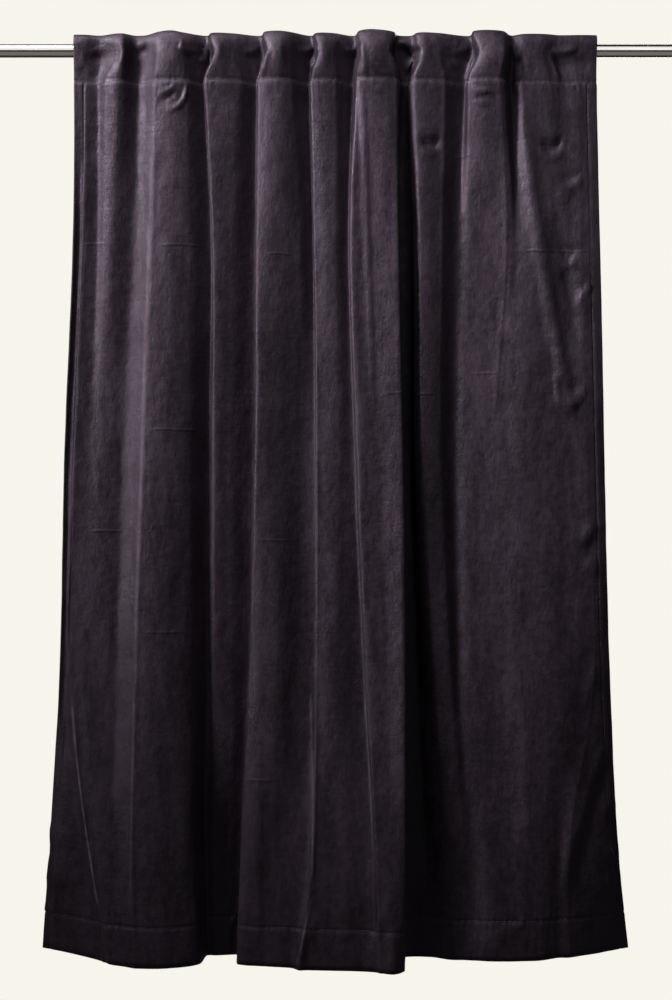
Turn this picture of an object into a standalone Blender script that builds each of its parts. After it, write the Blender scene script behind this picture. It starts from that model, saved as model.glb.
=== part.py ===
"""A velvet curtain panel gathered on a plain steel rod.

The origin is the middle of the rod's axis. X runs along the rod, Y away from the viewer and Z up.
The panel is one sheet. Its top is turned over to the back and sewn down as the casing that the rod
runs through, and it hangs in folds that change from the casing down to the hem.
"""

from collections import namedtuple
from math import ceil

import bmesh
import bpy
import numpy as np

MM = 0.001

# Rod
ROD_LENGTH = 1360 * MM
ROD_DIAMETER = 25 * MM
ROD_SIDES = 32
ROD_CHAMFER = 1.2 * MM

# Cloth: thickness of one layer and of a sewn hem, and the length over which a seam's thickness fades
LAYER = 2.0 * MM
HEM_LAYERS = 3.4 * MM
SEAM_FADE = 8 * MM
HEM_HEIGHT = 76 * MM
HEM_STEP = 7 * MM
COLUMN_PITCH = 30 * MM

# Heights at which the folds are given: the casing seam, the upper, middle and lower parts, above
# the hem, and the bottom edge. Between them the rows are this many.
LEVEL_HEIGHTS = np.array((-68, -340, -805, -1253, -1583, -1785)) * MM
ROWS_BETWEEN_LEVELS = (3, 3, 3, 2, 1)

# One row for each line that runs down the cloth, from its left edge to its right edge.
# x is the place along the rod and forward the distance in front of the rod's axis, in mm, at each
# of the six levels. crown is the height of the casing's top fold there above the rod's axis, in mm.
FoldLine = namedtuple("FoldLine", "name crown x forward")
FOLD_LINES = (
    FoldLine("left_edge", 26, (-512, -516, -534, -546, -570, -590), (12, 5, 0, -5, -30, -60)),
    FoldLine("left_stitch", 26, (-494, -501, -522, -533, -552, -573), (13, 13, 12, 7, -22, -52)),
    FoldLine("left_ridge", 26, (-488, -497, -517, -526, -478, -450), (15, 19, 17, 13, 5, 28)),
    FoldLine("left_trough", 25, (-475, -482, -503, -460, -445, -424), (14, 12, 9, 7, 25, 38)),
    FoldLine("crest_a", 26, (-448, -452, -453, -434, -425, -403), (42, 30, 24, 22, 38, 46)),
    FoldLine("flank_a", 26, (-394, -427, -437, -421, -415, -388), (40, 26, 28, 28, 44, 52)),
    FoldLine("valley_ab", 25, (-380, -403, -413, -408, -405, -374), (14, 20, 34, 38, 50, 58)),
    FoldLine("crest_b", 29, (-357, -348, -361, -387, -387, -358), (44, 50, 52, 50, 62, 65)),
    FoldLine("face_b", 31, (-321, -309, -313, -324, -327, -319), (48, 53, 55, 55, 64, 67)),
    FoldLine("flank_b", 27, (-290, -283, -277, -274, -269, -268), (38, 40, 42, 42, 46, 42)),
    FoldLine("valley_bc", 25, (-269, -262, -256, -255, -259, -255), (14, 4, -4, -8, -10, -12)),
    FoldLine("crest_c", 26, (-253, -242, -241, -239, -239, -237), (34, 26, 18, 10, -6, -10)),
    FoldLine("flank_c", 26, (-181, -201, -208, -208, -211, -214), (38, 28, 18, 8, -8, -12)),
    FoldLine("valley_cd", 25, (-165, -179, -182, -186, -196, -198), (14, 0, -8, -12, -12, -11)),
    FoldLine("crest_d", 28, (-147, -150, -153, -166, -180, -188), (40, 44, 47, 47, 50, 40)),
    FoldLine("face_d", 29, (-114, -112, -108, -114, -123, -131), (46, 49, 52, 56, 62, 56)),
    FoldLine("flank_d", 28, (-85, -74, -68, -70, -73, -85), (38, 36, 36, 46, 64, 64)),
    FoldLine("valley_de", 25, (-69, -53, -49, -56, -56, -77), (14, 20, 28, 42, 64, 67)),
    FoldLine("crest_e", 26, (-47, -41, -37, -31, -44, -65), (40, 38, 42, 52, 72, 74)),
    FoldLine("flank_e", 26, (2, 0, 4, 14, 13, 8), (40, 36, 38, 50, 72, 80)),
    FoldLine("valley_ef", 25, (24, 18, 27, 47, 61, 57), (14, 14, 24, 46, 76, 86)),
    FoldLine("crest_f", 29, (50, 31, 39, 62, 75, 82), (42, 44, 54, 62, 82, 92)),
    FoldLine("face_f", 31, (83, 69, 81, 100, 105, 108), (50, 56, 65, 72, 92, 100)),
    FoldLine("lip_f", 28, (117, 118, 128, 133, 132, 130), (38, 50, 62, 68, 86, 80)),
    FoldLine("under_f", 25, (125, 114, 120, 124, 122, 128), (18, 14, 10, 4, 10, 5)),
    FoldLine("valley_fg", 25, (133, 138, 146, 162, 174, 185), (14, 2, -4, -10, -6, -1)),
    FoldLine("crest_g", 27, (146, 164, 166, 192, 220, 227), (38, 26, 20, 8, 10, 13)),
    FoldLine("flank_g", 27, (206, 205, 207, 223, 247, 254), (40, 28, 22, 14, 15, 18)),
    FoldLine("valley_gh", 25, (231, 225, 225, 241, 268, 278), (14, 14, 14, 13, 17, 21)),
    FoldLine("crest_h", 30, (258, 266, 254, 270, 295, 304), (42, 34, 26, 22, 24, 26)),
    FoldLine("flank_h", 29, (318, 319, 314, 320, 335, 339), (42, 34, 28, 28, 28, 28)),
    FoldLine("valley_hi", 25, (341, 335, 336, 343, 363, 369), (14, 18, 25, 29, 28, 26)),
    FoldLine("crest_i", 27, (358, 389, 368, 366, 382, 399), (36, 36, 30, 31, 29, 22)),
    FoldLine("face_i", 27, (413, 430, 422, 422, 423, 440), (28, 22, 20, 20, 15, 7)),
    FoldLine("right_trough", 26, (448, 455, 467, 469, 444, 472), (16, 14, 13, 9, 9, -4)),
    FoldLine("right_ridge", 26, (474, 478, 490, 503, 463, 490), (18, 14, 12, 6, 10, -12)),
    FoldLine("right_stitch", 26, (494, 498, 515, 523, 541, 563), (16, 12, 8, 0, -18, -46)),
    FoldLine("right_edge", 26, (510, 519, 530, 541, 562, 588), (12, 4, 0, -8, -30, -60)),
)

# Casing section, from the seam up the front, over the top and down the back, in mm as
# (forward, height). flat is the section in a valley, full that of a fold that stands out by
# FULL_FOLD. The inner side is 2 mm in and clears the rod, which it rests on at the top. Where inner
# is None both layers lie together and share the inner point before.
VALLEY_FORWARD = 14 * MM
FULL_FOLD = 30 * MM
FLAT_CROWN = 25 * MM
FULL_CROWN = 29 * MM
Station = namedtuple("Station", "name outer_flat outer_full inner_flat inner_full")
CASING = (
    Station("seam_front", (15, -68), (45, -68), (12.8, -63), (42.8, -63)),
    Station("front_low", (16, -46), (49, -46), (14, -46), (47, -46)),
    Station("front_mid", (17.5, -24), (50, -24), (15.5, -24), (48, -24)),
    Station("front_rod", (18, -2), (44, -2), (16, -2), (42, -2)),
    Station("front_high", (17, 14), (39, 14), (15, 12), (37, 14)),
    Station("fold_front", (15, 22), (35, 26), (12.6, 15), (32.4, 25)),
    Station("fold_top", (12.5, 25), (32, 29), None, None),
    Station("fold_back", (10, 22), (28.5, 26.5), None, None),
    Station("back_frill", (8.5, 17), (16, 19.5), (8.4, 14.2), (16.5, 17.2)),
    Station("rod_top_front", (4.7, 14.9), (5, 15.1), (4.7, 12.8), (4.7, 12.8)),
    Station("rod_top_back", (-5.4, 14.8), (-5.4, 14.8), (-4.7, 12.8), (-4.7, 12.8)),
    Station("back_high", (-15.4, 8.9), (-20, 9.4), (-13.7, 7.9), (-18.4, 8.2)),
    Station("back_rod", (-17.9, -4.3), (-27, -5), (-15.9, -4.3), (-25, -5)),
    Station("back_low", (-13.2, -27), (-24, -30), (-11.4, -26), (-22.1, -29)),
    Station("back_mid", (-1, -49), (3, -52), (0.8, -47.5), (4.8, -50.5)),
    Station("seam_back", (10.6, -68), (40.6, -68), None, None),
)


def clear_scene():
    for item in list(bpy.data.objects):
        bpy.data.objects.remove(item, do_unlink=True)


def principled(name, color, roughness, metallic):
    material = bpy.data.materials.new(name)
    material.use_nodes = True
    shader = material.node_tree.nodes["Principled BSDF"]
    shader.inputs["Base Color"].default_value = (*color, 1.0)
    shader.inputs["Roughness"].default_value = roughness
    shader.inputs["Metallic"].default_value = metallic
    return material


def add_object(name, mesh, material):
    item = bpy.data.objects.new(name, mesh)
    item.data.materials.append(material)
    bpy.context.scene.collection.objects.link(item)
    return item


def hermite(start, end, start_slope, end_slope, share):
    square = share * share
    cube = square * share
    return (
        (2 * cube - 3 * square + 1) * start
        + (cube - 2 * square + share) * start_slope
        + (3 * square - 2 * cube) * end
        + (cube - square) * end_slope
    )


def slopes(places, values):
    """The slope at each place of a smooth curve through the values."""
    gaps = np.diff(places)[:, None]
    steps = np.diff(values, axis=0) / gaps
    middle = (steps[:-1] * gaps[1:] + steps[1:] * gaps[:-1]) / (gaps[:-1] + gaps[1:])
    return np.vstack((steps[:1], middle, steps[-1:]))


def read_curve(places, values, at):
    """The smooth curve through the values, read at each of the given places."""
    slope = slopes(places, values)
    index = np.clip(np.searchsorted(places, at, side="right") - 1, 0, len(places) - 2)
    gap = (places[index + 1] - places[index])[:, None]
    share = (at[:, None] - places[index][:, None]) / gap
    return hermite(values[index], values[index + 1], slope[index] * gap, slope[index + 1] * gap, share)


def row_heights():
    """Heights of the rows below the casing seam, closer together beside each seam."""
    heights = [LEVEL_HEIGHTS[0] - SEAM_FADE]
    for top, below, count in zip(LEVEL_HEIGHTS[:-1], LEVEL_HEIGHTS[1:], ROWS_BETWEEN_LEVELS):
        heights += [top + (below - top) * step / count for step in range(1, count + 1)]
    hem_top = LEVEL_HEIGHTS[-1] + HEM_HEIGHT
    heights += [hem_top + HEM_STEP, hem_top]
    return np.array(sorted(heights, reverse=True))


def line_places(heights):
    """Every fold line's x, forward and crown at each height: heights by lines by three."""
    depth_order = -LEVEL_HEIGHTS
    found = []
    for line in FOLD_LINES:
        at_levels = np.column_stack((line.x, line.forward)) * MM
        along = read_curve(depth_order, at_levels, -heights)
        found.append(np.column_stack((along, np.full(len(heights), line.crown * MM))))
    return np.array(found).transpose(1, 0, 2)


def steps_between_lines():
    """How many columns each gap between neighbouring fold lines takes."""
    places = line_places(LEVEL_HEIGHTS)[:, :, :2]
    longest = np.linalg.norm(np.diff(places, axis=1), axis=2).max(axis=0)
    return [max(1, ceil(length / COLUMN_PITCH)) for length in longest]


def across(row, steps):
    """One row's columns on a smooth curve through its fold lines."""
    chords = np.sqrt(np.linalg.norm(np.diff(row[:, :2], axis=0), axis=1))
    places = np.concatenate(([0.0], np.cumsum(chords)))
    at = [places[0]]
    for index, count in enumerate(steps):
        at += [places[index] + chords[index] * step / count for step in range(1, count + 1)]
    return read_curve(places, row, np.array(at))


def sheet_middle(heights, steps):
    """The middle of the hanging sheet, rows by columns by xyz."""
    rows = []
    for height, row in zip(heights, line_places(heights)):
        columns = across(row, steps)
        rows.append(np.column_stack((columns[:, 0], -columns[:, 1], np.full(len(columns), height))))
    return np.array(rows)


def front_normals(grid):
    """Unit normals of the sheet, on the side that faces the viewer."""
    along = np.gradient(grid, axis=1)
    down = np.gradient(grid, axis=0)
    normals = np.cross(down, along)
    return normals / np.linalg.norm(normals, axis=2, keepdims=True)


def hem_columns(steps):
    """True for each column of the two side hems."""
    total = sum(steps) + 1
    found = np.zeros(total, bool)
    found[: steps[0] + 1] = True
    found[total - steps[-1] - 1:] = True
    return found


def sheet_faces(heights, steps):
    """Front and back points of the sheet below the casing seam."""
    middle = sheet_middle(heights, steps)
    normals = front_normals(middle)
    in_hem = heights <= LEVEL_HEIGHTS[-1] + HEM_HEIGHT + HEM_STEP / 2
    doubled = in_hem[:, None] | hem_columns(steps)[None, :]
    back_offset = np.where(doubled, HEM_LAYERS - LAYER / 2, LAYER / 2)[:, :, None]
    return middle + normals * LAYER / 2, middle - normals * back_offset


def casing_side(flat, full, fold, crown=0.0):
    """The y and z of one casing station in every column; crown is what the top fold adds in height."""
    forward = flat[0] * MM + (full[0] - flat[0]) * MM * fold
    height = flat[1] * MM + (full[1] - flat[1]) * MM * fold
    if flat[1] > ROD_DIAMETER / 2 / MM:
        room = np.clip((height - ROD_DIAMETER / 2) / (FLAT_CROWN - ROD_DIAMETER / 2), 0, 1)
        height = height + crown * room
    return -forward, height


def casing_rings(steps):
    """Outer and inner points of the casing: stations by columns by xyz."""
    seam = across(line_places(LEVEL_HEIGHTS[:1])[0], steps)
    fold = (seam[:, 1] - VALLEY_FORWARD) / FULL_FOLD
    crown = seam[:, 2] - FLAT_CROWN - (FULL_CROWN - FLAT_CROWN) * fold
    outer = []
    inner = []
    for station in CASING:
        outer.append(
            np.column_stack((seam[:, 0], *casing_side(station.outer_flat, station.outer_full, fold, crown)))
        )
        if station.inner_flat:
            inner.append(
                np.column_stack((seam[:, 0], *casing_side(station.inner_flat, station.inner_full, fold)))
            )
    return np.array(outer), np.array(inner)


def bridge(mesh, rings):
    """Joins each ring of vertices to the next with a band of quads."""
    for ring, beside in zip(rings[:-1], rings[1:]):
        for index in range(len(ring)):
            after = (index + 1) % len(ring)
            mesh.faces.new((ring[index], ring[after], beside[after], beside[index]))


def close_end(mesh, outer_ring, inner_ring, row_count):
    """Closes one side edge: the casing between its two rings, then the sheet below it."""
    stations = len(CASING)
    casing = outer_ring[:stations]
    partner = 0
    for index in range(stations - 1):
        ahead = partner + 1 if CASING[index + 1].inner_flat else partner
        after = 0 if index == stations - 2 else ahead
        corners = [casing[index], casing[index + 1], inner_ring[after]]
        if after != partner:
            corners.append(inner_ring[partner])
        mesh.faces.new(corners)
        partner = after
    back = [casing[-1], *outer_ring[stations: stations + row_count]]
    front = [casing[0], *reversed(outer_ring[stations + row_count:])]
    mesh.faces.new((casing[0], inner_ring[0], casing[-1]))
    for index in range(row_count):
        mesh.faces.new((front[index], back[index], back[index + 1], front[index + 1]))


def make_cloth():
    steps = steps_between_lines()
    heights = row_heights()
    front, back = sheet_faces(heights, steps)
    outer, inner = casing_rings(steps)
    loops = np.concatenate((outer, back, front[::-1]))
    mesh = bmesh.new()
    outer_rings = [[mesh.verts.new(point) for point in column] for column in loops.transpose(1, 0, 2)]
    inner_rings = [[mesh.verts.new(point) for point in column] for column in inner.transpose(1, 0, 2)]
    bridge(mesh, outer_rings)
    bridge(mesh, inner_rings)
    for end in (0, -1):
        close_end(mesh, outer_rings[end], inner_rings[end], len(heights))
    bmesh.ops.recalc_face_normals(mesh, faces=mesh.faces)
    data = bpy.data.meshes.new("curtain_cloth")
    mesh.to_mesh(data)
    mesh.free()
    data.shade_smooth()
    return add_object("curtain_cloth", data, principled("plum_velvet", (0.046, 0.036, 0.052), 0.85, 0.0))


def make_rod():
    mesh = bmesh.new()
    bmesh.ops.create_cone(
        mesh,
        cap_ends=True,
        segments=ROD_SIDES,
        radius1=ROD_DIAMETER / 2,
        radius2=ROD_DIAMETER / 2,
        depth=ROD_LENGTH,
    )
    rims = [edge for edge in mesh.edges if abs(edge.verts[0].co.z - edge.verts[1].co.z) < ROD_CHAMFER]
    bmesh.ops.bevel(mesh, geom=rims, offset=ROD_CHAMFER, segments=1, affect="EDGES")
    data = bpy.data.meshes.new("curtain_rod")
    mesh.to_mesh(data)
    mesh.free()
    data.shade_smooth()
    data.set_sharp_from_angle(angle=0.6)
    rod = add_object("curtain_rod", data, principled("polished_steel", (0.62, 0.61, 0.59), 0.12, 1.0))
    rod.rotation_euler = (0.0, np.pi / 2, 0.0)
    return rod


clear_scene()
make_rod()
make_cloth()
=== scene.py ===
"""The looks of a velvet curtain panel gathered on a polished steel rod.

The velvet is one thin closed sheet in the same folds as its solid, with the casing turned over the
rod. Its fold lines have places of their own, up to 42 mm from the solid's. Creases, swags and sewn
lines are added in millimetres.
"""

from collections import namedtuple
from math import ceil, cos, pi, radians, sin

import bpy
import numpy as np
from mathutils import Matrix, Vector, noise


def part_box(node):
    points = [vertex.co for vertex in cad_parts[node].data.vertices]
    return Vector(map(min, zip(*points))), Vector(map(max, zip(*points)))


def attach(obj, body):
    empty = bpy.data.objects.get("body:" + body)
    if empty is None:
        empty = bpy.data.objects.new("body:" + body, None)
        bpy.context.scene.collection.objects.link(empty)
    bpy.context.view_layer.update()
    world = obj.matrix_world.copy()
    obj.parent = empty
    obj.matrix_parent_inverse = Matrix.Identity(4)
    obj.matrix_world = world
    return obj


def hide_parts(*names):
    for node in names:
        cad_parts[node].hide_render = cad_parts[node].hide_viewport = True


MM = 0.001
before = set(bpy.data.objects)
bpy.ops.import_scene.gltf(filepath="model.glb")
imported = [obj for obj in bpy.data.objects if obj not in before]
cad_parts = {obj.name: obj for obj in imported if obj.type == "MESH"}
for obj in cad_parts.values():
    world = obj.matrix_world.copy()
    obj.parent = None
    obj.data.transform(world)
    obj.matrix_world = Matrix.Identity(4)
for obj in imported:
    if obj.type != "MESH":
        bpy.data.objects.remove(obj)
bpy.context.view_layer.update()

# Rod, read from its solid
ROD_LOW, ROD_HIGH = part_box("curtain_rod")
ROD_RADIUS = (ROD_HIGH.z - ROD_LOW.z) / 2
ROD_SIDES = 160
ROD_CHAMFER = 1.2 * MM

# Cloth: thickness of a layer and of a hem, the width between the two, hem sizes, and the sheet's grid
LAYER = 2.0 * MM
HEM_LAYERS = 3.2 * MM
HEM_EDGE = 4 * MM
HEM_HEIGHT = 76 * MM
SIDE_HEM_WIDTH = 19 * MM
COLUMN_PITCH = 5.6 * MM
BACK_ROW_EVERY = 3
COLUMN_GATHER = 0.4
CASING_OUTER_ROWS = 46
CASING_INNER_ROWS = 20

# Heights at which the folds are given: the casing seam, the upper, middle and lower parts, above
# the hem, and the bottom edge
LEVEL_HEIGHTS = np.array((-68, -340, -805, -1253, -1583, -1785)) * MM
SEAM_HEIGHT = LEVEL_HEIGHTS[0]
BOTTOM_HEIGHT = LEVEL_HEIGHTS[-1]
HEM_SEAM_HEIGHT = BOTTOM_HEIGHT + HEM_HEIGHT

# One row for each line that runs down the cloth, from its left edge to its right edge.
# x is the place along the rod and forward the distance in front of the rod's axis, in mm, at each
# of the six levels. crown is the height of the casing's top fold there above the rod's axis, and
# waist how far the casing is drawn sideways just below the rod, in mm.
FoldLine = namedtuple("FoldLine", "name crown waist x forward")
FOLD_LINES = (
    FoldLine("left_edge", 26, 0, (-512, -511, -529, -543, -570, -590), (22, 28, 28, 14, -23, -60)),
    FoldLine("left_stitch", 26, 0, (-496, -501, -521, -533, -552, -573), (21.5, 20, 22, 11, -8, -50)),
    FoldLine("left_ridge", 26, 0, (-488, -494, -511, -519, -477, -450), (20.5, 20, 22, 17, 22, 26)),
    FoldLine("left_trough", 25, 10, (-466, -467, -482, -488, -465, -440), (16, 13, 20, 24, 34, 40)),
    FoldLine("crest_a", 26, 22, (-447, -451, -463, -464, -451, -432), (29, 22, 23, 26, 39, 46)),
    FoldLine("flank_a", 26, 8, (-420, -434, -445, -446, -440, -424), (34, 25, 23, 27, 41, 50)),
    FoldLine("valley_ab", 25, -4, (-388, -398, -416, -428, -429, -416), (15, 12, 20, 28, 43, 53)),
    FoldLine("foot_b", 25, 5, (-374, -382, -398, -410, -412, -405), (20, 15, 25, 36, 48, 58)),
    FoldLine("crest_b", 29, 7, (-350, -356, -371, -386, -390, -385), (35, 28, 38, 46, 57, 65)),
    FoldLine("face_b", 31, 0, (-321, -322, -338, -350, -350, -335), (39, 31, 40, 48, 60, 68)),
    FoldLine("flank_b", 27, -10, (-290, -289, -287, -286, -276, -268), (36, 26, 24, 26, 42, 42)),
    FoldLine("valley_bc", 25, 14, (-260, -246, -252, -254, -260, -255), (14, 4, -4, -8, -10, -12)),
    FoldLine("crest_c", 26, 20, (-253, -241, -240, -239, -239, -237), (38, 23, 4, -4, -8, -11)),
    FoldLine("flank_c", 26, -14, (-190, -203, -208, -208, -211, -214), (33, 18, -1, -9, -13, -14)),
    FoldLine("valley_cd", 25, 12, (-155, -157, -159, -171, -186, -196), (14, -3, -15, -19, -19, -14)),
    FoldLine("crest_d", 28, 16, (-147, -150, -153, -166, -180, -188), (40, 44, 49, 46, 50, 40)),
    FoldLine("face_d", 29, 4, (-114, -112, -108, -120, -126, -131), (46, 48, 44, 57, 62, 56)),
    FoldLine("flank_d", 28, -8, (-85, -74, -68, -72, -73, -85), (38, 35, 28, 39, 62, 64)),
    FoldLine("valley_de", 25, 10, (-54, -46, -41, -44, -52, -76), (14, 18, 26, 34, 65, 71)),
    FoldLine("crest_e", 26, 14, (-46, -41, -36, -37, -45, -69), (38, 32, 29, 35, 68, 75)),
    FoldLine("flank_e", 26, -8, (0, -2, 4, -2, 10, 8), (37, 38, 31, 40, 71, 80)),
    FoldLine("valley_ef", 25, 6, (32, 25, 38, 57, 73, 70), (14, 26, 26, 27, 74, 86)),
    FoldLine("crest_f", 29, 6, (42, 30, 43, 62, 80, 86), (44, 51, 52, 55, 84, 92)),
    FoldLine("face_f", 31, 0, (66, 66, 82, 100, 107, 109), (51, 53, 55, 58, 89, 100)),
    FoldLine("lip_f", 28, -14, (119, 121, 129, 133, 132, 130), (40, 53, 58, 63, 84, 80)),
    FoldLine("under_f", 25, -10, (127, 116, 121, 124, 122, 128), (18, 12, 8, 2, 10, 5)),
    FoldLine("valley_fg", 25, 14, (138, 148, 150, 162, 174, 185), (14, 1, -4, -10, -6, -1)),
    FoldLine("crest_g", 27, 18, (150, 161, 166, 192, 220, 227), (36, 30, 30, 20, 16, 17)),
    FoldLine("flank_g", 27, -12, (208, 204, 204, 223, 247, 254), (33, 26, 26, 20, 16, 18)),
    FoldLine("valley_gh", 25, 14, (254, 240, 230, 242, 268, 278), (14, 6, 6, 9, 13, 20)),
    FoldLine("crest_h", 30, 20, (259, 260, 254, 270, 295, 304), (38, 11, 9, 13, 16, 25)),
    FoldLine("flank_h", 29, 6, (322, 339, 314, 320, 335, 339), (42, 22, 14, 15, 16, 27)),
    FoldLine("valley_hi", 25, 4, (341, 354, 338, 341, 363, 369), (17, 20, 18, 19, 20, 26)),
    FoldLine("crest_i", 27, 4, (362, 378, 368, 366, 382, 399), (23, 23, 23, 24, 22, 22)),
    FoldLine("face_i", 27, -12, (413, 430, 422, 422, 423, 425), (24, 21, 22, 24, 16, 10)),
    FoldLine("right_trough", 26, -20, (448, 455, 467, 474, 440, 440), (16, 18, 19, 19, 12, 4)),
    FoldLine("right_ridge", 26, -8, (474, 478, 490, 503, 455, 458), (18, 20, 18, 13, 12, 2)),
    FoldLine("right_stitch", 26, 0, (494, 497, 513, 522, 541, 563), (18, 19, 15, 8, -16, -46)),
    FoldLine("right_edge", 26, 0, (510, 516, 527, 540, 562, 588), (16, 15, 10, 0, -28, -60)),
)

# Casing section, from the seam up the front, over the top and down the back, in mm as
# (forward, height): flat in a valley, full in a fold that stands out by FULL_FOLD
VALLEY_FORWARD = 14 * MM
FULL_FOLD = 30 * MM
FLAT_CROWN = 25 * MM
FULL_CROWN = 29 * MM
Station = namedtuple("Station", "name flat full")
CASING_OUTER = (
    Station("seam_front", (15, -68), (45, -68)),
    Station("front_low", (14.0, -48), (49.5, -48)),
    Station("front_mid", (15.6, -27), (52.5, -27)),
    Station("front_rod", (19.6, -7), (51.5, -8)),
    Station("front_high", (23.5, 10), (47, 9)),
    Station("fold_front", (20.5, 21), (40, 22.5)),
    Station("fold_top", (14.2, 25), (32.5, 29)),
    Station("fold_back", (9.4, 22), (28.2, 26)),
    Station("back_frill", (8.2, 17), (16, 19.8)),
    Station("rod_top_front", (4.7, 15.0), (5, 15.4)),
    Station("rod_top_back", (-5.4, 14.8), (-5.4, 14.8)),
    Station("back_high", (-15.4, 8.9), (-20, 9.4)),
    Station("back_rod", (-17.9, -4.3), (-27, -5)),
    Station("back_low", (-13.2, -27), (-24, -30)),
    Station("back_mid", (-1, -49), (3, -52)),
    Station("seam_back", (10.6, -68), (40.6, -68)),
)
CASING_INNER = (
    Station("pocket_bottom", (12.8, -63), (42.8, -63)),
    Station("front_low", (11.8, -47), (47.4, -47)),
    Station("front_mid", (13.4, -27), (50.4, -27)),
    Station("front_rod", (16.4, -7), (49.4, -8)),
    Station("front_high", (15.6, 9), (42.8, 8)),
    Station("under_fold", (12.6, 15), (35, 20.5)),
    Station("frill_base", (8.2, 14.4), (16.5, 17.4)),
    Station("rod_top_front", (4.4, 13.1), (4.4, 13.2)),
    Station("rod_top_back", (-4.4, 13.1), (-4.4, 13.1)),
    Station("back_high", (-13.7, 7.9), (-18.4, 8.2)),
    Station("back_rod", (-15.9, -4.3), (-25, -5)),
    Station("back_low", (-11.4, -26), (-22.1, -29)),
    Station("back_mid", (0.8, -47.5), (4.8, -50.5)),
)

# The casing is drawn in most at its waist, less in the puff above it, and not at the seam. Ridges
# fade out between the waist and the puff.
WAIST_HEIGHT = -17 * MM
PUFF_HEIGHT = 20 * MM
PUFF_SHARE = 0.5
STRAIGHT_SHARE = 0.4
RIDGE_FADE = 1.8

# The casing's swags lie on its front alone, and end below its top fold
CASING_FRONT_FROM = 8 * MM
CASING_FRONT_FADE = 4 * MM
CASING_SWAG_TOP = 26 * MM
CASING_SWAG_FADE = 12 * MM

# Where the cloth turns sharply along a fold line: how far beside the line, how wide on each side,
# and how high it stands at each of the six levels, in mm
Ridge = namedtuple("Ridge", "line shift width heights")
RIDGES = (
    Ridge("left_ridge", 0, 5, (0.0, 2.0, 2.8, 3.2, 3.6, 2.6)),
    Ridge("crest_a", 0, 5, (0.8, 0.0, 0.0, 0.0, 0.0, 0.0)),
    Ridge("crest_b", -2, 6, (1.0, 1.4, 1.7, 2.0, 2.4, 1.8)),
    Ridge("crest_c", 0, 4, (2.4, 2.2, 0.4, 0.0, 0.0, 0.0)),
    Ridge("crest_d", 0, 4, (2.6, 3.0, 3.2, 3.0, 2.8, 2.2)),
    Ridge("crest_e", 0, 4, (2.4, 2.6, 2.0, 1.2, 3.4, 3.8)),
    Ridge("crest_f", 0, 4, (2.4, 2.6, 3.0, 3.0, 3.4, 2.0)),
    Ridge("lip_f", -3, 4, (1.6, 2.2, 2.0, 1.8, 1.6, 1.0)),
    Ridge("crest_g", 2, 6, (1.4, 1.0, 0.6, 0.3, 0.0, 0.0)),
    Ridge("flank_g", 4, 3, (1.6, 1.4, 0.0, 0.0, 0.0, 0.0)),
    Ridge("crest_h", 0, 4, (1.0, 0.0, 0.0, 0.0, 0.0, 0.0)),
    Ridge("flank_h", -6, 4, (2.2, 1.8, 0.6, 0.0, 0.0, 0.0)),
    Ridge("flank_h", 4, 6, (2.2, 1.4, 0.4, 0.0, 0.0, 0.0)),
    Ridge("right_ridge", 0, 9, (0.6, 0.8, 1.0, 1.6, 2.4, 1.2)),
)
RIDGE_ROUNDING = 1.3 * MM
RIDGE_UNEVEN_EVERY = 0.11
RIDGE_UNEVEN = 0.55
RIDGE_SEED = 7.7

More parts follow.
